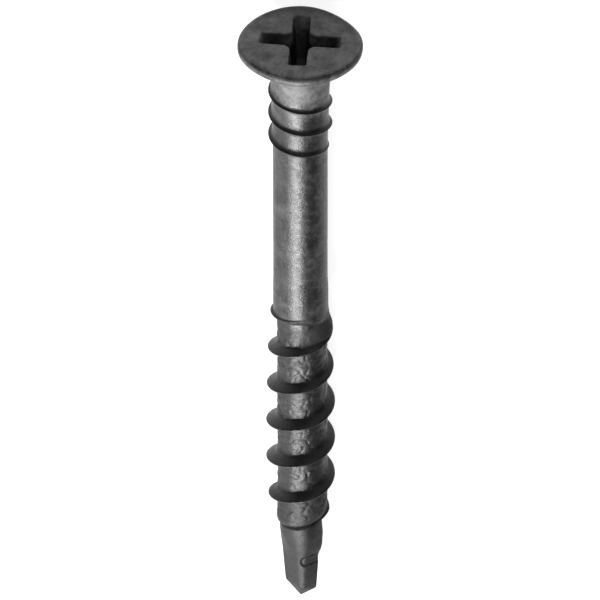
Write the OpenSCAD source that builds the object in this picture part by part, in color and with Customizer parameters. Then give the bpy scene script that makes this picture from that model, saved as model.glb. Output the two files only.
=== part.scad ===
// Drywall screw with a countersunk head, a cross recess, a shallow left-hand
// thread under the head, a plain shank, a coarse right-hand thread and a
// pinched drill point. Millimetres.
//
// The screw is written upright, tip at z = 0 and head up, and then laid down
// as it rests: on the rim of its head and on one crest of the coarse thread.
// The centre of its box is over the origin and the floor is z = 0.

/* [Length] */
// Length over all, from the top of the head to the tip
screw_l = 45; // [41:0.5:50]

/* [Head] */
// Diameter of the head at its rim
head_d = 8.06; // [7.6:0.02:8.6]
// Height of the head, from its top to the fillet of the neck
head_h = 1.8; // [1.7:0.05:2]
// Height of the low dome of the head
dome_h = 0.10; // [0.06:0.01:0.18]
// Height of the upright band round the rim
rim_h = 0.10; // [0.06:0.02:0.2]
// Radius of the edge under that band
rim_edge = 0.30; // [0.2:0.02:0.4]

/* [Cross recess] */
// Width over two opposite wings at the top
recess_d = 5.2; // [4.8:0.05:5.5]
// Width of one wing at the top
wing_w = 1.15; // [1:0.05:1.3]
// Depth of the wings
recess_h = 2.6; // [2.2:0.1:2.8]
// Turn of the cross about the axis of the screw
recess_turn = -4.4; // [-45:0.1:45]

/* [Thread under the head] */
// Diameter over the crests
neck_thread_d = 4.13; // [4.02:0.01:4.3]
// Diameter at the root, next to the head
neck_root_d = 3.86; // [3.7:0.01:3.9]
// Pitch, left-hand
neck_pitch = 1.74; // [1.6:0.02:1.8]

/* [Shank] */
// Diameter of the plain shank
shank_d = 3.48; // [3.4:0.02:3.5]

/* [Coarse thread] */
// Diameter over the full crests
thread_d = 4.46; // [4.3:0.02:4.7]
// Diameter at the root
root_d = 3.12; // [3:0.02:3.2]
// Pitch, right-hand
pitch = 2.97; // [2.9:0.01:3.02]
// Angle of each flank to the plane across the screw
flank_a = 27; // [24:1:30]
// Width of the flat on the crest
crest_w = 0.12; // [0.08:0.01:0.16]

/* [Drill point] */
// Width of the blade at its two corners
blade_w = 2.22; // [2:0.02:2.4]
// Thickness of the blade there
blade_t = 1.24; // [1.1:0.02:1.4]
// Height of the corners over the tip
point_h = 0.96; // [0.9:0.02:1.1]

/* [Hidden] */
$fn = 96;
STEEL = [0.13, 0.13, 0.135];
head_r = head_d / 2;
root_r = root_d / 2;
shank_r = shank_d / 2;
neck_r = neck_root_d / 2;
// where the rim band begins and ends, from the top of the head
rim_top = dome_h + 0.34;
rim_low = rim_top + rim_h;
// the plain shank starts this far from the top of the head
shank_top = 8.4;
// heights over the tip
shoulder_z = 6.5;
shank_z = 23.85;
// first full crest at the front (the -y side), and the last one
front_z = 9.17;
turn_low = -1;
turn_high = 5.2;
// share of the full depth of the coarse thread, against turns from front_z
GROWTH = [[-1, -0.16], [-0.75, 0.46], [-0.5, 0.66], [-0.25, 0.79], [0, 0.95],
    [0.3, 1], [2.3, 1], [3.2, 0.87], [4.25, 0.8], [4.74, 0.58], [4.98, 0.36],
    [5.2, 0.1]];
// the crest that carries the screw: at the back (+y), 1.5 turns over front_z
rest_z = front_z + 0.5 * pitch;
rest_r = thread_d / 2;
// slope at which it lies
lie = atan((head_r - rest_r) / (screw_l - rim_low - rest_z + crest_w / 2));
lift = head_r * cos(lie) - (screw_l - rim_low) * sin(lie);
middle = (screw_l * cos(lie) + (head_r - 0.42) * sin(lie)) / 2;

// Shared shapes

// joins rings of equal point count, lowest ring first, each counter-clockwise
// seen from above; the end rings are closed to the points low and high
module loft(rings, low, high) {
    m = len(rings[0]);
    n = len(rings);
    polyhedron(
        points = concat([for (ring = rings) each ring], [low, high]),
        faces = concat(
            [for (k = [0 : n - 2], i = [0 : m - 1])
                [k * m + i, (k + 1) * m + i, (k + 1) * m + (i + 1) % m]],
            [for (k = [0 : n - 2], i = [0 : m - 1])
                [k * m + i, (k + 1) * m + (i + 1) % m, k * m + (i + 1) % m]],
            [for (i = [0 : m - 1]) [n * m, i, (i + 1) % m]],
            [for (i = [0 : m - 1])
                [n * m + 1, (n - 1) * m + (i + 1) % m, (n - 1) * m + i]]),
        convexity = 12);
}

// a ridge wound round the z axis: stations is a list of [angle, height,
// crest radius] with growing angles, up and down are the run of each flank per
// millimetre of depth, base is the radius at which the ridge is closed inside
module ridge(stations, up, down, crest, base) {
    sections = [for (s = stations)
        let (a = s[0], z = s[1], r = s[2], d = r - base)
        [for (q = [[base, -crest / 2 - down * d], [r, -crest / 2],
                [r, crest / 2], [base, crest / 2 + up * d]])
            [q[0] * cos(a), q[0] * sin(a), z + q[1]]]];
    n = len(sections);
    polyhedron(points = [for (s = sections) each s],
        faces = concat(
            [for (k = [0 : n - 2], i = [0 : 3])
                let (a = k * 4 + i, b = k * 4 + (i + 1) % 4, c = a + 4, d = b + 4)
                each [[a, d, c], [a, b, d]]],
            [[0, 2, 1], [0, 3, 2], [4 * n - 4, 4 * n - 3, 4 * n - 2],
                [4 * n - 4, 4 * n - 2, 4 * n - 1]]),
        convexity = 12);
}

// Parts of the screw, upright

// everything that is round about the axis
module round_body() {
    top = head_r - 0.42;
    rotate_extrude($fn = 90)
        polygon([[0, screw_l], [top * 0.45, screw_l - 0.2 * dome_h],
            [top * 0.8, screw_l - 0.62 * dome_h], [top, screw_l - dome_h - 0.02],
            [head_r - 0.16, screw_l - dome_h - 0.12],
            [head_r - 0.04, screw_l - dome_h - 0.23],
            [head_r, screw_l - rim_top],
            for (a = [0 : 19 : 57])
                [head_r - rim_edge * (1 - cos(a)),
                    screw_l - rim_low - rim_edge * sin(a)],
            [neck_r + 0.42, screw_l - head_h],
            [neck_r + 0.2, screw_l - head_h - 0.13],
            [neck_r + 0.08, screw_l - head_h - 0.35],
            [neck_r + 0.03, screw_l - head_h - 0.8],
            [neck_r, screw_l - head_h - 1.5],
            [(neck_r + shank_r) / 2 + 0.02, screw_l - shank_top + 3.3],
            [shank_r + 0.02, screw_l - shank_top + 1],
            [shank_r, screw_l - shank_top],
            [shank_r, shank_z], [root_r, shank_z - 0.45],
            [root_r, shoulder_z + 0.6], [0, shoulder_z + 0.6]]);
}

// outline of the cross: wing length, wing width and the fillet in the corners
function cross(reach, wide, fillet, z) = [for (i = [0 : 3]) each
    let (h = wide / 2, c = h + fillet, e = 0.12 * wide, a = 90 * i)
    [for (q = [[c, -h], [reach - e, -h], [reach, e - h], [reach, h - e],
            [reach - e, h], [c, h],
            [c - fillet * cos(60), c - fillet * sin(60)],
            [c - fillet * cos(30), c - fillet * sin(30)]])
        [q[0] * cos(a) - q[1] * sin(a), q[0] * sin(a) + q[1] * cos(a), z]]];

// the hollow for the driver, top of the head at z = 0: its walls run straight
// from the bottom to a little over the head
module recess() {
    over = 0.4;
    loft([for (z = [-recess_h, over])
            cross(recess_d / 2 + 0.5 * z, wing_w * (1 + 0.146 * z),
                0.46 + 0.06 * z, z)],
        [0, 0, -recess_h - 0.35], [0, 0, over]);
}

// shallow left-hand thread under the head: slow rise, steep drop
module neck_thread() {
    first = screw_l - 6.12 + 2.12 * neck_pitch;
    turns = 3.6;
    steps = 96;
    ridge([for (k = [0 : steps])
            let (u = turns * k / steps,
                share = min(1, 0.45 + 0.9 * u, (turns - u) / 0.62))
            [-90 - 360 * 2.12 + 360 * u, first - neck_pitch * u,
                shank_r - 0.06
                    + (neck_thread_d / 2 - shank_r + 0.06) * share]],
        1.5, 0.55, 0.06, shank_r - 0.28);
}

// coarse right-hand thread
module coarse_thread() {
    steps = 36;
    t = tan(flank_a);
    ridge([for (k = [turn_low * steps : turn_high * steps])
            let (u = k / steps)
            [-90 + 360 * u, front_z + pitch * u,
                root_r + (thread_d / 2 - root_r) * lookup(u, GROWTH)]],
        t, t, crest_w, root_r - 0.2);
}

// steel that the last turn of the coarse thread runs out into: on the right
// the end of the plain shank leans down to the crest
module thread_end() {
    ENDS = [[4.04, root_r - 0.1], [4.2, thread_d / 2 - 0.16], [4.5, thread_d / 2 - 0.22],
        [4.72, shank_r - 0.04]];
    ridge([for (k = [0 : 16])
            let (u = 4.04 + 0.68 * k / 16)
            [-90 + 360 * u, front_z + pitch * u + 0.05, lookup(u, ENDS)]],
        5, tan(flank_a), crest_w, root_r - 0.25);
}

// radius of a four-cornered outline in the direction a: corners at right,
// back, left and front
function diamond(a, right, left, ridge) =
    let (CORNERS = [[-18, right], [92, ridge], [162, left], [272, ridge],
            [342, right]],
        b = a < -18 ? a + 360 : a > 342 ? a - 360 : a,
        k = b < 92 ? 0 : b < 162 ? 1 : b < 272 ? 2 : 3,
        p = CORNERS[k], q = CORNERS[k + 1])
    sin(q[0] - p[0]) / (sin(q[0] - b) / p[1] + sin(b - p[0]) / q[1]);

// the same outline with its corners rounded, more at the front and the back
function softened(a, right, left, ridge) =
    let (w = 3 + 12 * sin(a) * sin(a))
    (diamond(a - w, right, left, ridge) + 2 * diamond(a, right, left, ridge)
        + diamond(a + w, right, left, ridge)) / 4;

// drill point: pinched from round to a blade with a ridge at front and back,
// and a narrow neck where it meets the root of the coarse thread
module drill_point() {
    c = blade_w / 2;
    b = blade_t / 2;
    n = c + 0.1;
    g = shoulder_z;
    // height, lean, share of the diamond, round radius, right, left, ridge
    RINGS = [[point_h, -0.14, 0.96, c + 0.02, c + 0.04, c - 0.01, b],
        [1.9, 0, 0.9, c + 0.04, c + 0.09, c + 0.05, b + 0.12],
        [3.45, 0, 0.75, c + 0.13, c + 0.18, c + 0.17, b + 0.33],
        [4.4, 0, 0.62, c + 0.25, c + 0.5, c + 0.26, b + 0.46],
        [5.3, 0.05, 0.5, c + 0.31, c + 0.54, c + 0.33, b + 0.6],
        [g - 0.5, 0.2, 0.3, c + 0.3, c + 0.42, c + 0.34, b + 0.72],
        [g - 0.28, 0.25, 0.1, c + 0.27, c + 0.3, c + 0.29, b + 0.69],
        [g - 0.08, 0.28, 0, n, n, n, n], [g + 0.04, 0.28, 0, n, n, n, n],
        [g + 0.12, 0.28, 0, root_r - 0.1, n, n, n],
        [g + 0.24, 0.28, 0, root_r - 0.004, n, n, n],
        [g + 0.9, 0, 0, root_r - 0.03, n, n, n]];
    difference() {
        loft([for (h = RINGS) [for (i = [0 : 59])
                let (a = 6 * i,
                    r = (1 - h[2]) * h[3] + h[2] * softened(a, h[4], h[5], h[6]))
                [r * cos(a), r * sin(a), h[0] + h[1] * cos(a)]]],
            [0, 0, 0], [0, 0, g + 0.9]);
        // end of the flute, a shallow trough over the right front face with a
        // round end next to the front ridge
        rotate([0, 0, -60])
            translate([b + 0.66, -0.35, 3.34]) {
                sphere(r = 0.42, $fn = 24);
                rotate([-90, 0, 0])
                    cylinder(r = 0.42, h = 1.6, $fn = 24);
            }
    }
}

module screw_upright() {
    difference() {
        union() {
            round_body();
            neck_thread();
            coarse_thread();
            thread_end();
            drill_point();
        }
        translate([0, 0, screw_l])
            rotate([0, 0, recess_turn])
                recess();
    }
}

// The screw as it lies

module screw() {
    color(STEEL)
        translate([0, middle, lift])
            rotate([90 - lie, 0, 0])
                rotate([0, 0, 180])
                    screw_upright();
}

screw();
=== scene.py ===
"""A drywall screw lying on a pale floor, seen from above its head."""
import math

import bmesh
import bpy
import numpy as np
from mathutils import Matrix, Vector


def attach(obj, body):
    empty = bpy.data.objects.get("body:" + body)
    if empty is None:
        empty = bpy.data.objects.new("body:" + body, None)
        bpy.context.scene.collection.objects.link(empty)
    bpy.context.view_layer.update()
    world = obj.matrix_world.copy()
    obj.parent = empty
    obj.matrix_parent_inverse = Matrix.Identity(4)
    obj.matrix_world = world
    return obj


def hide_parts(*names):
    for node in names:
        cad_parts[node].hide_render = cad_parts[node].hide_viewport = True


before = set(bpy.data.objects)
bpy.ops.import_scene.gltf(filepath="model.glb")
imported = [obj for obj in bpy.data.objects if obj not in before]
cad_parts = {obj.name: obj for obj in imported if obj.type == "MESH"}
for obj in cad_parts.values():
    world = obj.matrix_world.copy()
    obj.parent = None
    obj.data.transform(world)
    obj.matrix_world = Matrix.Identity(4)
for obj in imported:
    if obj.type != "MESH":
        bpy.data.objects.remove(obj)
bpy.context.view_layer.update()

# How the screw lies
#
# The screw touches the floor with the rim of its head and one crest of its
# coarse thread, so its axis falls a little towards the tip. Its shapes are
# worked out upright, tip down and head up, in millimetres, and laid down last.
MM_IN_M = 1000
LENGTH = 45.0
HEAD_R, HEAD_EDGE = 4.03, 0.42
RIM_TOP, RIM_LOW, RIM_EDGE = 0.44, 0.54, 0.30
COARSE_R, COARSE_ROOT, COARSE_PITCH, COARSE_FRONT = 2.23, 1.56, 2.97, 9.17
CREST_HALF = 0.06
lie = math.atan((HEAD_R - COARSE_R)
                / (LENGTH - RIM_LOW - COARSE_FRONT - COARSE_PITCH / 2 + CREST_HALF))
to_head = Vector((0, -math.cos(lie), math.sin(lie)))
to_front = Vector((0, math.sin(lie), math.cos(lie)))
foot = Vector((0, (LENGTH * math.cos(lie) + (HEAD_R - HEAD_EDGE) * math.sin(lie)) / 2,
               HEAD_R * math.cos(lie) - (LENGTH - RIM_LOW) * math.sin(lie)))


def laid_down(points):
    """Upright x, y, z in millimetres to the lying place in metres: x runs
    against X, y away from the front, z along the axis towards the head."""
    axes = np.array([(-1, 0, 0), tuple(-to_front), tuple(to_head)])
    return (points @ axes + np.array(foot)) / MM_IN_M


# Camera
#
# The picture was taken with a long lens from 37.5 degrees above the plane
# across the screw, on the head's side, with the head at the top.
VIEW_UP, VIEW_ROLL = math.radians(37.5), math.radians(-0.06)
PICTURE_PX, PX_PER_MM = 600, 15.5
AIM_BELOW_TOP, AIM_RIGHT = 20.97, -0.03
SENSOR, DISTANCE = 36, 1.6
camera = bpy.data.objects.new("camera", bpy.data.cameras.new("camera"))
bpy.context.scene.collection.objects.link(camera)
bpy.context.scene.camera = camera
back = to_front * math.cos(VIEW_UP) + to_head * math.sin(VIEW_UP)
up = to_head * math.cos(VIEW_UP) - to_front * math.sin(VIEW_UP)
right = up.cross(back)
target = (foot + to_head * (LENGTH - AIM_BELOW_TOP) + right * AIM_RIGHT) / MM_IN_M
camera.data.sensor_width = SENSOR
camera.data.lens = SENSOR * DISTANCE / (PICTURE_PX / PX_PER_MM / MM_IN_M)
turn = Matrix((right, up, back)).transposed()
roll = Matrix.Rotation(VIEW_ROLL, 3, "Z")
camera.matrix_world = (Matrix.Translation(target + back * DISTANCE)
                       @ (turn @ roll).to_4x4())
camera.data.clip_end = 10

# Screw: cross recess and top of the head
#
# A No. 2 cross punched into the cold-headed blank: four wings that narrow and
# close in with depth, with rounded ends, a broken edge and filleted corners.
RECESS_REACH, WING_HALF, RECESS_DEPTH, RECESS_TURN = 2.6, 0.575, 2.6, -4.4
WINGS_ASKEW = (0, 2.4, -4.0, 0, 0)   # degrees, at each quarter turn
BROKEN_EDGE = 0.08
DOME, DOME_R = 0.10, HEAD_R - HEAD_EDGE


def cross_outline(reach, half, fillet, rounding):
    """Outline of the cross, counter-clockwise from the middle of the right
    wing's end. An eighth of it is half of the end, its rounded corner, the
    straight side and half of the fillet; that is mirrored in the diagonal and
    turned by quarters, and each wing then stands a little askew."""
    middle = half + fillet
    corner = np.radians(np.linspace(0, 90, 6))
    hollow = np.radians(np.linspace(-90, -135, 6))
    end = np.linspace(0, half - rounding, 5)[:-1]
    side = np.linspace(reach - rounding, middle, 12)[1:-1]
    u = np.concatenate([np.full(end.size, reach),
                        reach - rounding + rounding * np.cos(corner), side,
                        middle + fillet * np.cos(hollow)])
    v = np.concatenate([end, half - rounding + rounding * np.sin(corner),
                        np.full(side.size, half), middle + fillet * np.sin(hollow)])
    eighth = u + 1j * v
    quarter = np.concatenate([eighth, 1j * np.conj(eighth[-2:0:-1])])
    whole = np.concatenate([quarter * 1j ** k for k in range(4)])
    askew = np.interp(np.degrees(np.angle(whole)) % 360, (0, 90, 180, 270, 360),
                      WINGS_ASKEW)
    return whole * np.exp(1j * np.radians(RECESS_TURN + askew))


def recess_ring(depth, spread=0.0):
    """The cross at a depth under the head's top, moved outwards by spread:
    wings lose 0.5 mm of reach and 0.17 mm of width per mm."""
    return cross_outline(RECESS_REACH - 0.5 * depth + spread,
                         WING_HALF * (1 - 0.146 * depth) + spread,
                         0.50 - 0.06 * depth - 0.7 * spread, 0.2)


def dome(flat):
    """Height of the head's top over a point: a shallow parabola."""
    return LENGTH - DOME * (np.abs(flat) / DOME_R) ** 2


# rings of the head, each with complex plan positions and heights, from the
# bottom of the recess up and out over the top, and then down to the neck
rings = []
for depth, shrink in ((RECESS_DEPTH + 0.17, 0.5), (RECESS_DEPTH + 0.06, 0.85)):
    ring = recess_ring(RECESS_DEPTH) * shrink
    rings.append((ring, np.full(ring.size, LENGTH - depth)))
for depth in np.linspace(RECESS_DEPTH, 0.2, 12):
    ring = recess_ring(depth)
    rings.append((ring, np.full(ring.size, LENGTH - depth)))
for angle in np.radians((0, 30, 60, 90)):
    ring = recess_ring(0, BROKEN_EDGE * (1 - math.cos(angle)))
    rings.append((ring, dome(ring) - BROKEN_EDGE * (1 - math.sin(angle))))
lip = rings[-1][0]
columns = np.unwrap(np.angle(lip))
circle = np.exp(1j * columns)
for share in np.linspace(0, 1, 11)[1:]:
    ring = lip * (1 - share) + DOME_R * circle * share
    rings.append((ring, dome(ring)))

# Screw: rim and countersunk cone
#
# The head is headed between dies: a rounded edge, a narrow upright rim, a
# small edge under it and a flat cone that runs into the neck with a fillet.
NECK_R, HEAD_H, FILLET = 1.91, 1.80, 0.42
FLATS = ((0.053, 46, 44), (0.010, 140, 40), (0.038, 230, 44), (0.012, 308, 34))
for angle in np.radians(np.linspace(80, 0, 8)):
    r = DOME_R + HEAD_EDGE * math.cos(angle)
    z = LENGTH - RIM_TOP + (RIM_TOP - DOME) * math.sin(angle)
    rings.append((r * circle, np.full(columns.size, z)))
for angle in np.radians(np.linspace(0, 57, 6)):
    r = HEAD_R - RIM_EDGE * (1 - math.cos(angle))
    z = LENGTH - RIM_LOW - RIM_EDGE * math.sin(angle)
    rings.append((r * circle, np.full(columns.size, z)))
cone_end = LENGTH - HEAD_H
for share in np.linspace(0, 1, 8)[1:]:
    rings.append(((r + (NECK_R + FILLET - r) * share) * circle,
                  np.full(columns.size, z + (cone_end - z) * share)))


def out_of_round(plan):
    """The head was headed a little flat on its far right and its near left:
    the rim is drawn in there by up to 5.3 per cent, the recess not at all.
    Each flat has a share, a place and a half width in degrees."""
    azimuth = np.degrees(np.angle(plan)) % 360
    flat = sum(share * np.cos(np.clip((azimuth - at) / wide, -1, 1) * math.pi / 2) ** 2
               for share, at, wide in FLATS)
    outer = np.clip((np.abs(plan) - 2.7) / (HEAD_R - 2.7), 0, 1)
    return plan * (1 - flat * outer)


# Screw: neck, shank and threads
#
# Neck, plain shank and the root of the coarse thread are one rod, and the
# dies rolled both threads out of it: a high coarse ridge that winds to the
# right, and a shallow one under the head that winds to the left.
SHANK_R = 1.765
SHOULDER, SHANK_END, MID_SHANK = 6.6, 23.3, 30
BODY = np.array([  # height, radius
    (0, COARSE_ROOT), (23.10, COARSE_ROOT), (23.20, COARSE_ROOT + 0.01),
    (23.50, SHANK_R - 0.01), (23.58, SHANK_R), (36.60, SHANK_R),
    (37.60, 1.78), (38.50, 1.82), (39.90, 1.85), (41.10, 1.88), (41.70, NECK_R),
    (42.20, NECK_R + 0.04), (42.60, NECK_R + 0.10), (42.85, NECK_R + 0.16),
    (43.00, NECK_R + 0.22), (43.10, NECK_R + 0.29), (43.20, NECK_R + FILLET)])
GROWTH = np.array([  # turns from the lowest full crest at the front, share
    (-1.2, -0.5), (-0.86, -0.12), (-0.75, 0.46), (-0.5, 0.66), (-0.25, 0.79),
    (0, 0.95), (0.3, 1), (2.3, 1), (3.2, 0.87), (4.25, 0.8), (4.74, 0.58),
    (4.98, 0.36), (5.2, 0.1), (5.4, -0.3)])
LAST_TURN = 4
NECK_CREST, NECK_SUNK, NECK_PITCH, NECK_FRONT = 2.065, 0.06, 1.74, LENGTH - 6.12


def share_past(value, start, over):
    """Share that grows from 0 where value is start to 1 where it is start
    plus over. Over is negative for a share that grows downwards."""
    return np.clip((value - start) / over, 0, 1)


def eased(share):
    """A share that starts and stops gently: 3 share squared less 2 cubed."""
    return share * share * (3 - 2 * share)


def blended(a, b, k):
    """The larger of a and b, with the corner between them rounded over
    about k: half of their sum and of the root of their squared difference
    and k squared."""
    return (a + b + np.sqrt((a - b) ** 2 + k * k)) / 2


def turns_from_front(angle):
    """Turns from the front, which lies a quarter turn before the right."""
    return (angle + math.pi / 2) / (2 * math.pi)


def coarse_crest(turns):
    """Radius of the coarse ridge's crest, turns from the lowest full one."""
    return COARSE_ROOT + (COARSE_R - COARSE_ROOT) * np.interp(
        turns, GROWTH[:, 0], GROWTH[:, 1])


def coarse_ridge(angle, z):
    """Radius of the coarse right-hand ridge: crest height rises a pitch per
    turn, less at the very end, and flanks fall at 27 degrees to the plane
    across from a narrow flat."""
    turns = turns_from_front(angle)
    whole = np.round((z - COARSE_FRONT) / COARSE_PITCH - turns)
    sag = np.interp(turns + whole, (4.7, 5.0, 5.3), (0, 0.45, 1.2))
    off = z - COARSE_FRONT - COARSE_PITCH * (turns + whole) + sag
    fall = (np.abs(off) - CREST_HALF) / math.tan(math.radians(27))
    return coarse_crest(turns + whole) - blended(fall, 0, 0.05) + 0.01


def neck_ridge(angle, z):
    """Radius of the shallow left-hand ridge: crest height falls a pitch per
    turn. Above the crest the radius falls in a hollow curve, by 0.26 mm at
    most, and below it falls straight and steeply."""
    turns = turns_from_front(angle)
    whole = np.round((NECK_FRONT - z) / NECK_PITCH - turns - 0.12)
    off = z - NECK_FRONT + NECK_PITCH * (turns + whole)
    along = turns + whole + 2.12
    share = np.clip(np.minimum(0.45 + 0.9 * along, (3.62 - along) / 0.62), -1, 1)
    crest = SHANK_R - NECK_SUNK + (NECK_CREST - SHANK_R + NECK_SUNK) * share
    above = 0.26 * (1 - np.exp(-np.maximum(off, 0) / 0.14))
    below = np.maximum(-off, 0) / 0.8
    return crest - above - below


def thread_end(angle, z):
    """Radius of the steel that the last turn of the coarse ridge runs out
    into: on the right the shank's end leans down to the crest in a straight
    slope, which fades out towards the front and the back."""
    turns = np.mod(turns_from_front(angle), 1)
    crest_z = COARSE_FRONT + COARSE_PITCH * (turns + LAST_TURN)
    crest_r = coarse_crest(turns + LAST_TURN)
    rise = share_past(z - crest_z, 0.3, 22.95 - crest_z)
    slope = crest_r - 0.02 + (SHANK_R + 0.01 - crest_r) * rise
    slope = slope - share_past(z, 23.2, 0.6) * 0.08
    slope = slope - 3 * np.clip(crest_z + 0.16 - z, 0, 1)
    right_side = eased(share_past(turns, 0, 0.22) * share_past(turns, 0.72, -0.2))
    return slope - (1 - right_side) * 0.5 - np.clip(z - 25.3, 0, 3)


# Screw: rolled root
#
# The rolling dies press the root of the coarse thread into small pads, each
# tilted its own way, with creases between them.
PAD_ACROSS, PAD_ROWS, PAD_ALONG = 14, 64, 0.7
pads = np.random.default_rng(7)
pad_x, pad_z = pads.uniform(0.15, 0.85, (2, PAD_ROWS, PAD_ACROSS))
pad_tilt = pads.uniform(-1, 1, (3, PAD_ROWS, PAD_ACROSS))


def rolled_pads(angle, z):
    """Height of the small pads on the root, as a share of their full height:
    cells round seeded points, each cell tilted its own way, with creases
    where two points are equally near."""
    across = angle / (2 * math.pi) * PAD_ACROSS
    across = across + 0.22 * np.sin(z * 5.1 + 3 * np.sin(angle * 2))
    along = z / PAD_ALONG + 0.2 * np.sin(angle * 5 + z)
    i, j = np.floor(across).astype(int), np.floor(along).astype(int)
    best = np.full(across.shape, 9.0)
    second = best.copy()
    height = np.zeros(across.shape)
    for di in (-1, 0, 1):
        for dj in (-1, 0, 1):
            a, b = (i + di) % PAD_ACROSS, (j + dj) % PAD_ROWS
            dx = across - (i + di) - pad_x[b, a]
            dz = along - (j + dj) - pad_z[b, a]
            away = np.hypot(dx, dz)
            nearer = away < best
            second = np.where(nearer, best, np.minimum(second, away))
            height = np.where(nearer, 0.5 * pad_tilt[0, b, a]
                              + dx * pad_tilt[1, b, a] * 1.6
                              + dz * pad_tilt[2, b, a] * 1.6, height)
            best = np.where(nearer, away, best)
    inside = eased(share_past(second - best, 0, 0.5))
    return inside * (0.6 + 0.5 * height) - 0.45


# Screw: drill point
#
# The end of the blank is pinched between two dies into a blade, with a corner
# on either side, a rounded ridge at the front and the back, and the shallow
# run-out of its flute. A narrow groove parts it from the root.
TIP, POINT_TOP = -0.15, 7.2
CORNER_R, SLOT_HALF = 1.15, 0.38
CORNERS = np.radians((-18, 92, 162, 272, 342))   # right, back, left, front, right
POINT = np.array([
    # height, lean, share of the diamond, round radius, right, left, ridge
    (TIP, 0, 0.96, 0.0, 0.0, 0.0, 0.0),
    (0.84, -0.13, 0.96, 1.13, 1.15, 1.10, 0.62),
    (3.45, 0, 0.65, 1.24, 1.30, 1.29, 0.97),
    (4.4, 0, 0.45, 1.38, 1.68, 1.35, 1.07),
    (5.3, 0.05, 0.3, 1.46, 1.74, 1.37, 1.19),
    (6.0, 0.2, 0.2, 1.42, 1.58, 1.45, 1.34),
    (6.22, 0.25, 0.1, 1.38, 1.41, 1.40, 1.31),
    (6.45, 0.28, 0, 1.19, 1.19, 1.19, 1.19),
    (6.53, 0.28, 0, 1.23, 1.23, 1.23, 1.23),
    (6.58, 0.28, 0, 1.44, 1.44, 1.44, 1.44),
    (6.66, 0.28, 0, 1.53, 1.53, 1.53, 1.53),
    (6.78, 0.28, 0, COARSE_ROOT, COARSE_ROOT, COARSE_ROOT, COARSE_ROOT),
    (9.0, 0.25, 0, COARSE_ROOT, COARSE_ROOT, COARSE_ROOT, COARSE_ROOT)])


def run_out_slot(angle, z):
    """Depth of the flute's run-out on the right front: a shallow slot, 0.76 mm
    high, with a round end near the front ridge, and along its edge a narrow
    groove 0.1 mm deep, which fades towards the right corner."""
    side = np.cos(angle) * CORNER_R
    past = np.maximum(0.42 - side, 0)
    middle = 3.34 + 0.16 * (side - 0.5)
    edge = SLOT_HALF - np.hypot(past, z - middle)
    front = np.sin(angle) < 0.05
    rim = 0.10 * np.exp(-(edge / 0.075) ** 2) * np.clip((CORNER_R - side) / 0.25, 0.3, 1)
    return front * (rim + 0.035 * share_past(edge, 0, 0.14))


def pinched(angle, z):
    """Radius of the drill point: between a circle and a four-cornered
    outline with straight sides, both changing with the height. The corners
    are rounded by taking the mean of the outline over 6 degrees at the
    sides and 38 degrees at the front and the back."""
    level = z - np.interp(z, POINT[:, 0], POINT[:, 1]) * np.cos(angle)
    share, rounded, right, left, ridge = (
        np.interp(level, POINT[:, 0], POINT[:, k]) for k in range(2, 7))
    radii = np.stack([right, ridge, left, ridge, right])
    pick = np.indices(angle.shape)
    straight = 0
    for aside in np.radians(np.linspace(-1, 1, 7)):
        aside = aside * (3 + 16 * np.sin(angle) ** 2)
        a = np.mod(angle + aside - CORNERS[0], 2 * math.pi) + CORNERS[0]
        side = np.clip(np.searchsorted(CORNERS, a, side="right") - 1, 0, 3)
        first, second = radii[(side, *pick)], radii[(side + 1, *pick)]
        start, stop = CORNERS[side], CORNERS[side + 1]
        straight = straight + np.sin(stop - start) / np.maximum(
            np.sin(stop - a) / np.maximum(first, 1e-6)
            + np.sin(a - start) / np.maximum(second, 1e-6), 1e-6) / 7
    radius = (1 - share) * rounded + share * straight
    return radius - run_out_slot(angle, z) * np.clip(radius, 0, 1)


def rod_radius(angle, z):
    """Radius without the ridges: the rod or the point. Along the coarse thread
    it lies a little to the right and carries the rolled pads, and on the
    right the shank ends 0.4 mm lower."""
    end = 0.4 * np.maximum(np.cos(angle), 0) * share_past(z, 26, -2)
    rod = np.interp(z + end, BODY[:, 0], BODY[:, 1])
    rod = np.where(z < POINT_TOP, pinched(angle, z), rod)
    within = share_past(z, 6.8, 0.5) * share_past(z, 23.4, -2)
    between = share_past(rod - coarse_ridge(angle, z), 0, 0.12) * within
    aside = 0.05 * np.cos(angle) + 0.14 * np.maximum(np.cos(angle), 0) ** 2
    return rod + aside * within + 0.06 * between * rolled_pads(angle, z)


def body_radius(angle, z):
    """Radius of everything below the cone: each ridge runs into the rod with
    a small fillet."""
    rod = rod_radius(angle, z)
    low = blended(blended(rod, thread_end(angle, z), 0.16) - 0.01,
                  coarse_ridge(angle, z), 0.05)
    high = blended(rod, neck_ridge(angle, z), 0.04)
    return np.where(z > MID_SHANK, high, np.where(z < SHOULDER, rod, low))


# Screw: one closed mesh
#
# The screw is one piece of steel, so head and body are one grid of rows and
# columns, closed at the recess's bottom and at the tip. Along the threads the
# rows follow the ridges, so that each crest and root keeps an even line.
NECK_LOW, NECK_HIGH = LENGTH - 9.0, 41.7
COARSE_LOW, COARSE_HIGH = 7.0, LENGTH - 19.9
FILLET_LOW = cone_end - 0.4
seam = np.append(columns, columns[0] + 2 * math.pi)


def helical_rows(offsets, pitch, start, low, high):
    """Heights of rows that follow a ridge, highest first: offsets about the
    crest, repeated every pitch, rising or falling with the angle, and held
    between the plane rings at low and high."""
    rise = pitch * (seam + math.pi / 2) / (2 * math.pi)
    repeat = np.arange(-8, 12)[::-1]
    levels = (start + abs(pitch) * repeat[:, None]
              + np.sort(offsets)[::-1][None]).ravel()
    heights = np.clip(levels[:, None] + rise[None], low, high)
    keep = (heights.max(1) > low) & (heights.min(1) < high)
    first = max(np.argmax(keep) - 1, 0)
    last = len(keep) - np.argmax(keep[::-1]) + 1
    return heights[first:last]


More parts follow.
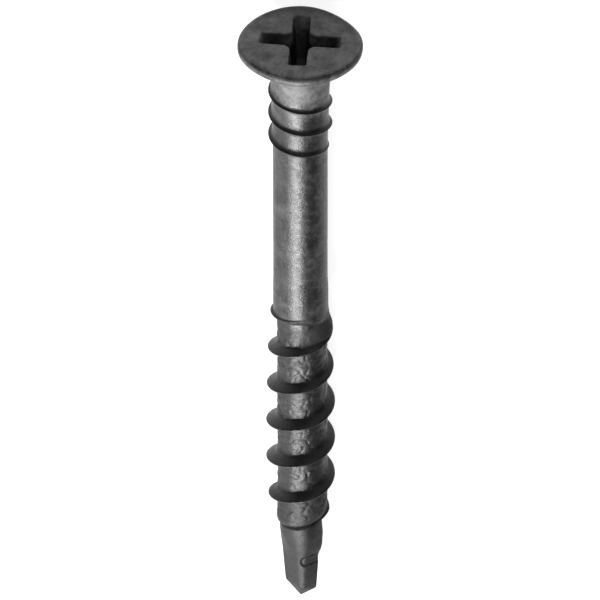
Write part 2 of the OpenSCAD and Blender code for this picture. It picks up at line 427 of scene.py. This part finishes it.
def plane_rows(levels):
    """Rows of one height each, as wide as the seam's columns."""
    return np.repeat(np.array(levels)[:, None], seam.size, 1)


coarse_offsets = np.concatenate([
    [0, 0.04, 0.07, 0.11, 0.17, 0.24, 0.31, 0.36, 0.41, 0.46],
    np.linspace(0.53, COARSE_PITCH / 2 - 0.05, 11)])
coarse_offsets = np.concatenate([-coarse_offsets[1:], coarse_offsets])
neck_offsets = np.array([-0.75, -0.5, -0.3, -0.18, -0.11, -0.06, 0, 0.05, 0.11,
                         0.18, 0.26, 0.36, 0.48, 0.62, 0.8])
point_levels = [np.linspace(high, low, rows)[1:] for high, low, rows in (
    (COARSE_LOW, 6.0, 21), (6.0, 3.95, 14), (3.95, 2.7, 26), (2.7, 1.0, 10))]
height_rows = np.concatenate([
    plane_rows(np.linspace(cone_end, FILLET_LOW, 7)[1:-1]),
    plane_rows(np.linspace(FILLET_LOW, NECK_HIGH, 7)),
    helical_rows(neck_offsets, -NECK_PITCH, NECK_FRONT, NECK_LOW, NECK_HIGH)[1:],
    plane_rows(np.linspace(NECK_LOW, COARSE_HIGH, 12)[1:-1]),
    helical_rows(coarse_offsets, COARSE_PITCH, COARSE_FRONT, COARSE_LOW, COARSE_HIGH),
    plane_rows(np.concatenate(point_levels)),
    plane_rows(np.linspace(0.9, -0.05, 9))])
angle_rows = np.repeat(seam[None], len(height_rows), 0)
radius_rows = body_radius(angle_rows, height_rows)
body_rows = np.stack([radius_rows * np.cos(angle_rows),
                      radius_rows * np.sin(angle_rows), height_rows], -1)
rings = [(out_of_round(p), z) for p, z in rings]
head_rows = np.array([np.stack([np.append(p.real, p.real[0]),
                                np.append(p.imag, p.imag[0]),
                                np.append(z, z[0])], -1) for p, z in rings])
grid = np.concatenate([head_rows, body_rows])
count, wide = grid.shape[:2]
points = np.concatenate([grid.reshape(-1, 3),
                         [(0, 0, LENGTH - RECESS_DEPTH - 0.3), (0, 0, TIP)]])
row, col = np.meshgrid(np.arange(count - 1), np.arange(wide - 1), indexing="ij")
here = (row * wide + col).ravel()
quads = np.stack([here, here + wide, here + wide + 1, here + 1], -1)
col = np.arange(wide - 1)
bottom, tip = count * wide, count * wide + 1
last_row = (count - 1) * wide
fans = np.concatenate([
    np.stack([np.full(wide - 1, bottom), col, col + 1], -1),
    np.stack([np.full(wide - 1, tip), last_row + col + 1, last_row + col], -1)])
mesh = bpy.data.meshes.new("screw_steel")
mesh.from_pydata(laid_down(points).tolist(), [], quads.tolist() + fans.tolist())

# Screw: wear of the coat, and painted light and shade
#
# Spots on the head and patches all over make the coat uneven. Beyond that the
# colour holds painted light: the top of the head, the neck and the rim's upright
# band are drawn lighter, and the head's top darker towards its far side and its
# rim. It holds painted shade too: the cross, the flanks, the groove under the
# root, the root and the point are drawn black. Each point keeps three values:
# its share of rolled root, how black it is and how dull beside the shank.
SPOTS = ((-2.1, -1.6, 0.55, 0.6), (-3.1, 0.5, 0.5, -0.35), (3.0, 0.3, 0.5, -0.35),
         (-1.6, 2.1, 0.6, -0.2), (1.5, -2.6, 0.5, 0.25), (0.6, 3.0, 0.5, 0.2))
head_x, head_y, head_z = np.moveaxis(head_rows, -1, 0)
in_cross = len([p for p, z in rings if np.abs(p).min() < WING_HALF * 1.6
                and z.max() < LENGTH - 0.01])
on_top = head_z > LENGTH - DOME - 0.06
on_top[:in_cross] = False
under = share_past(head_z, LENGTH - RIM_LOW - 0.02, -0.1)
under[:in_cross] = 0
upright = share_past(head_z, LENGTH - RIM_TOP + 0.03, -0.05) * (1 - under)
upright[:in_cross] = 0


def spot(x, y, size):
    """A soft round spot on the head, 1 at x, y: e to the power of minus the
    squared distance over size squared, so about a third at size from it."""
    return np.exp(-((head_x - x) ** 2 + (head_y - y) ** 2) / size ** 2)


# painted light and shade: the head's top is drawn lighter than the rest, darker towards
# its far side, and darker towards the rim except on the near side; the spots make it
# uneven
far = head_y / HEAD_R
near_rim = share_past(np.hypot(head_x, head_y), 3.0, 0.8)
top_wear_and_painted_light = 0.38 + 0.20 * far + 0.40 * near_rim * np.clip(0.4 + far, 0, 1)
for x, y, size, more in SPOTS:
    top_wear_and_painted_light = top_wear_and_painted_light + more * spot(x, y, size)
head_coat_and_painted_light = np.full(head_z.shape, 0.75)
# painted shade: the cross is drawn blacker the deeper it goes
head_coat_and_painted_light[:in_cross] = np.linspace(1.3, 0.95, in_cross)[:, None]
# painted light: the rim's upright band is drawn lighter
head_coat_and_painted_light = np.where(on_top, top_wear_and_painted_light, head_coat_and_painted_light) - 0.25 * upright
head_dull = np.where(on_top, 0.08, 0.22)
head_dull[:in_cross] = np.linspace(0.4, 0.1, in_cross)[:, None]
head_dull = head_dull + 0.2 * under

proud = np.maximum(coarse_ridge(angle_rows, height_rows),
                   neck_ridge(angle_rows, height_rows) * (height_rows > MID_SHANK))
proud = (proud - rod_radius(angle_rows, height_rows)) * (height_rows > SHOULDER)
flank = share_past(proud, 0, 0.1) - 0.5 * share_past(proud, 0.5, 0.1)
groove = share_past(radius_rows, 1.45, -0.15) * np.clip(
    1 - np.abs(height_rows - 6.55) / 0.4, 0, 1)
on_point = share_past(height_rows, SHOULDER, -0.3)
rolled = np.clip(1 - proud / 0.06, 0, 1) * share_past(
    height_rows, 6.5, 0.3) * share_past(height_rows, SHANK_END, -1.5)
# painted light: the neck is drawn lighter. Painted shade: everything below the shank,
# the coarse thread's root and the point, is drawn darker
black = (0.93 - 0.5 * share_past(height_rows, 39.5, 2.5)
         + 0.12 * share_past(height_rows, SHANK_END, -0.3))
# painted shade: the flanks and the groove under the root are drawn black
black = black + (1.1 - black) * np.maximum(flank, groove)
# painted shade: the point is drawn black
black = np.maximum(black, 1.08 * on_point)
low_root = share_past(height_rows, 9.2, -0.5) * (height_rows > SHOULDER)
leaning = np.clip((thread_end(angle_rows, height_rows) - radius_rows) / 0.1 + 1.5, 0, 1)
slot = run_out_slot(angle_rows, height_rows)
dull = (0.14 * rolled + 0.23 * on_point
        + 0.2 * low_root * np.clip(np.cos(angle_rows) * 2, 0.5, 1)
        + 0.12 * np.exp(-((height_rows - 22.4) / 0.6) ** 2) + 0.08 * flank
        + 0.07 * share_past(height_rows, 23, 0.5)
        + 0.15 * share_past(height_rows, 40.5, 1.5) + 0.25 * leaning
        + 0.4 * share_past(slot, 0.045, 0.03))
for name, top, below, ends in (("root", np.zeros(head_z.shape), rolled, (0, 0)),
                               ("black", head_coat_and_painted_light, black, (0.98, 0.93)),
                               ("dull", head_dull, dull, (0.4, 0.12))):
    layer = mesh.attributes.new(name, "FLOAT", "POINT")
    flat = np.concatenate([top.ravel(), below.ravel(), ends])
    layer.data.foreach_set("value", flat.astype(np.float32))

work = bmesh.new()
work.from_mesh(mesh)
bmesh.ops.remove_doubles(work, verts=work.verts, dist=1.5e-6)
bmesh.ops.recalc_face_normals(work, faces=work.faces)
work.to_mesh(mesh)
work.free()
mesh.shade_smooth()
mesh.set_sharp_from_angle(angle=math.radians(50))
screw = bpy.data.objects.new("screw_steel", mesh)
bpy.context.scene.collection.objects.link(screw)

# Screw: black phosphate on steel
#
# A thin crystal coat, dark grey and satin, oiled. It scatters more than it
# mirrors, so highlights are wide and grey, mottled by the blasted blank and
# streaked along the drawn wire.
# colours of the coat, thin and full; the attribute black mixes them, so they also carry
# painted light and painted shade
THIN_COAT_AND_PAINTED_LIGHT, FULL_COAT_AND_PAINTED_SHADE = "#5e5e5e", "#121212"


def linear(code):
    """A hex sRGB colour as linear red, green, blue and 1."""
    parts = [int(code[k:k + 2], 16) / 255 for k in (1, 3, 5)]
    return [p / 12.92 if p < 0.04045 else ((p + 0.055) / 1.055) ** 2.4
            for p in parts] + [1]


def node(tree, kind, settings=None, **links):
    """Adds a node, sets its properties and sockets, and links its inputs:
    a value that is a socket is linked, any other is set. An input goes by
    its name, with _ for a space, or by i and its number."""
    made = tree.nodes.new("ShaderNode" + kind)
    for name, value in (settings or {}).items():
        setattr(made, name, value)
    for name, value in links.items():
        numbered = name[0] == "i" and name[1:].isdigit()
        socket = made.inputs[int(name[1:]) if numbered else name.replace("_", " ")]
        if isinstance(value, bpy.types.NodeSocket):
            tree.links.new(value, socket)
        else:
            socket.default_value = value
    return made


phosphate = bpy.data.materials.new("black_phosphated_steel")
phosphate.use_nodes = True
tree = phosphate.node_tree
tree.nodes.clear()
place = node(tree, "TexCoord").outputs["Object"]
standing = node(tree, "Mapping", {"vector_type": "TEXTURE"}, Vector=place,
                Location=tuple(foot / MM_IN_M),
                Rotation=(math.radians(90) - lie, 0, math.radians(180)))
drawn = node(tree, "Mapping", Vector=standing.outputs[0], Scale=(1, 1, 0.05))
root_share = node(tree, "Attribute", {"attribute_name": "root"}).outputs["Fac"]
coat_and_painted_light = node(tree, "Attribute", {"attribute_name": "black"}).outputs["Fac"]
dullness = node(tree, "Attribute", {"attribute_name": "dull"}).outputs["Fac"]

# each pattern's scale is its cells in a millimetre: draw marks 0.2 mm apart and
# 4 mm long, clumps of crystals 0.4 mm across and rubbed patches of 1.1 mm. The
# crystals are 0.01 mm, too fine to show, and are drawn ten times as coarse
streaks = node(tree, "TexNoise", Vector=drawn.outputs[0], Scale=5.2 * MM_IN_M,
               Detail=4, Roughness=0.6)
clumps = node(tree, "TexNoise", Vector=place, Scale=2.4 * MM_IN_M, Detail=4,
              Roughness=0.75)
grain = node(tree, "TexNoise", Vector=place, Scale=9 * MM_IN_M, Detail=3,
             Roughness=0.6)
patches = node(tree, "TexNoise", Vector=place, Scale=0.9 * MM_IN_M, Detail=6,
               Roughness=0.8)

# the patches thin the coat only where it is drawn thin, as wear and as painted light
uneven = node(tree, "MapRange", Value=patches.outputs["Fac"], i1=0.3, i2=0.7,
              i3=-0.75, i4=0.75)
wear_and_painted_light = node(tree, "Math", {"operation": "SUBTRACT", "use_clamp": True}, i0=1.3,
            i1=coat_and_painted_light)
coat = node(tree, "Math", {"operation": "MULTIPLY_ADD", "use_clamp": True},
            i0=uneven.outputs[0], i1=wear_and_painted_light.outputs[0], i2=coat_and_painted_light)
colour = node(tree, "MixRGB", Fac=coat.outputs[0], Color1=linear(THIN_COAT_AND_PAINTED_LIGHT),
              Color2=linear(FULL_COAT_AND_PAINTED_SHADE))
sheen = node(tree, "MapRange", Value=clumps.outputs["Fac"], i1=0.3, i2=0.7,
             i3=0.22, i4=0.38)
sheen = node(tree, "Math", {"operation": "ADD"}, i0=sheen.outputs[0], i1=dullness)
steel = node(tree, "BsdfPrincipled", Base_Color=colour.outputs[0],
             Roughness=sheen.outputs[0], Specular_IOR_Level=0.25)

# laps of steel folded over by the rolling, 0.4 mm across, only on the root
warped = node(tree, "TexNoise", Vector=place, Scale=1.5 * MM_IN_M, Detail=2)
bent = node(tree, "VectorMath", {"operation": "MULTIPLY_ADD"},
            i0=warped.outputs["Color"], i1=(0.0006, 0.0006, 0.0006), i2=place)
lumps = node(tree, "TexNoise", Vector=bent.outputs[0], Scale=2.3 * MM_IN_M, Detail=2)
laps = node(tree, "Math", {"operation": "MULTIPLY"}, i0=lumps.outputs["Fac"],
            i1=root_share)
bump_streaks = node(tree, "Bump", Strength=0.3, Distance=0.00002,
                    Height=streaks.outputs["Fac"])
bump_clumps = node(tree, "Bump", Strength=0.6, Distance=0.00006,
                   Height=clumps.outputs["Fac"], Normal=bump_streaks.outputs[0])
bump_grain = node(tree, "Bump", Strength=0.5, Distance=0.00002,
                  Height=grain.outputs["Fac"], Normal=bump_clumps.outputs[0])
bump_laps = node(tree, "Bump", Strength=0.3, Distance=0.0001,
                 Height=laps.outputs[0], Normal=bump_grain.outputs[0])
tree.links.new(bump_laps.outputs[0], steel.inputs["Normal"])
node(tree, "OutputMaterial", Surface=steel.outputs[0])
mesh.materials.append(phosphate)

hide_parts("screw")
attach(screw, "root")

# Floor
#
# A sheet of matt card that scatters light evenly and mirrors nothing. It lights
# the screw as pale grey, and the camera and reflections see it as white, with
# the screw's soft shadow.
FLOOR_HALF = 3
CARD, SHADOW_SHARE, WHITE = "#aaaaaa", "#767676", "#ffffff"
floor_mesh = bpy.data.meshes.new("floor")
floor_mesh.from_pydata([(x * FLOOR_HALF, y * FLOOR_HALF, 0) for x, y in
                        ((-1, -1), (1, -1), (1, 1), (-1, 1))], [], [(0, 1, 2, 3)])
floor = bpy.data.objects.new("floor", floor_mesh)
bpy.context.scene.collection.objects.link(floor)
card = bpy.data.materials.new("matt_card")
card.use_nodes = True
tree = card.node_tree
tree.nodes.clear()
path = node(tree, "LightPath")
seen = node(tree, "Math", {"operation": "MAXIMUM"},
            i0=path.outputs["Is Camera Ray"], i1=path.outputs["Is Glossy Ray"])
seen = node(tree, "Math", {"operation": "MAXIMUM"}, i0=seen.outputs[0],
            i1=path.outputs["Is Transmission Ray"])
matt = node(tree, "BsdfDiffuse", Color=linear(CARD))
faint = node(tree, "BsdfDiffuse", Color=linear(SHADOW_SHARE))
glow = node(tree, "Emission", Color=linear(WHITE), Strength=0.88)
white = node(tree, "AddShader", i0=faint.outputs[0], i1=glow.outputs[0])
both = node(tree, "MixShader", Fac=seen.outputs[0], i1=matt.outputs[0],
            i2=white.outputs[0])
node(tree, "OutputMaterial", Surface=both.outputs[0])
floor_mesh.materials.append(card)

# Lights
#
# Two soft lamps stand over the tip, left of the picture. Five weak ones fill in:
# two lower behind the tip, one low on the left, one over the head on the
# camera's side and one low in front of the head. The world is dim and even.
LAMP_AWAY, LAMP_AIM = 0.5, Vector((0, 0, 0.002))


def lamp(name, direction, wide, tall, power):
    """A flat lamp that looks at the screw's middle from a direction."""
    light = bpy.data.lights.new(name, "AREA")
    light.shape = "RECTANGLE"
    light.size, light.size_y = wide, tall
    light.energy = power
    made = bpy.data.objects.new(name, light)
    direction = Vector(direction).normalized()
    made.location = LAMP_AIM + direction * LAMP_AWAY
    made.rotation_euler = direction.to_track_quat("Z", "Y").to_euler()
    bpy.context.scene.collection.objects.link(made)


lamp("key", (0.25, 0.61, 0.75), 0.25, 0.17, 6.6)
lamp("wide_key", (0.36, 0.61, 0.70), 0.56, 0.17, 3.2)
lamp("tip_left", (0.51, 0.78, 0.36), 0.26, 0.15, 0.55)
lamp("tip_right", (-0.50, 0.70, 0.45), 0.30, 0.25, 0.03)
lamp("left_low", (0.85, 0.45, 0.08), 0.40, 0.12, 0.95)
lamp("front", (-0.20, -0.62, 0.70), 0.40, 0.30, 0.45)
lamp("head_low", (0.0, -0.98, 0.20), 0.30, 0.20, 0.35)
world = bpy.data.worlds.new("room")
world.use_nodes = True
world.node_tree.nodes["Background"].inputs[0].default_value = (0.04, 0.04, 0.04, 1)
bpy.context.scene.world = world
bpy.context.scene.view_settings.view_transform = "Standard"
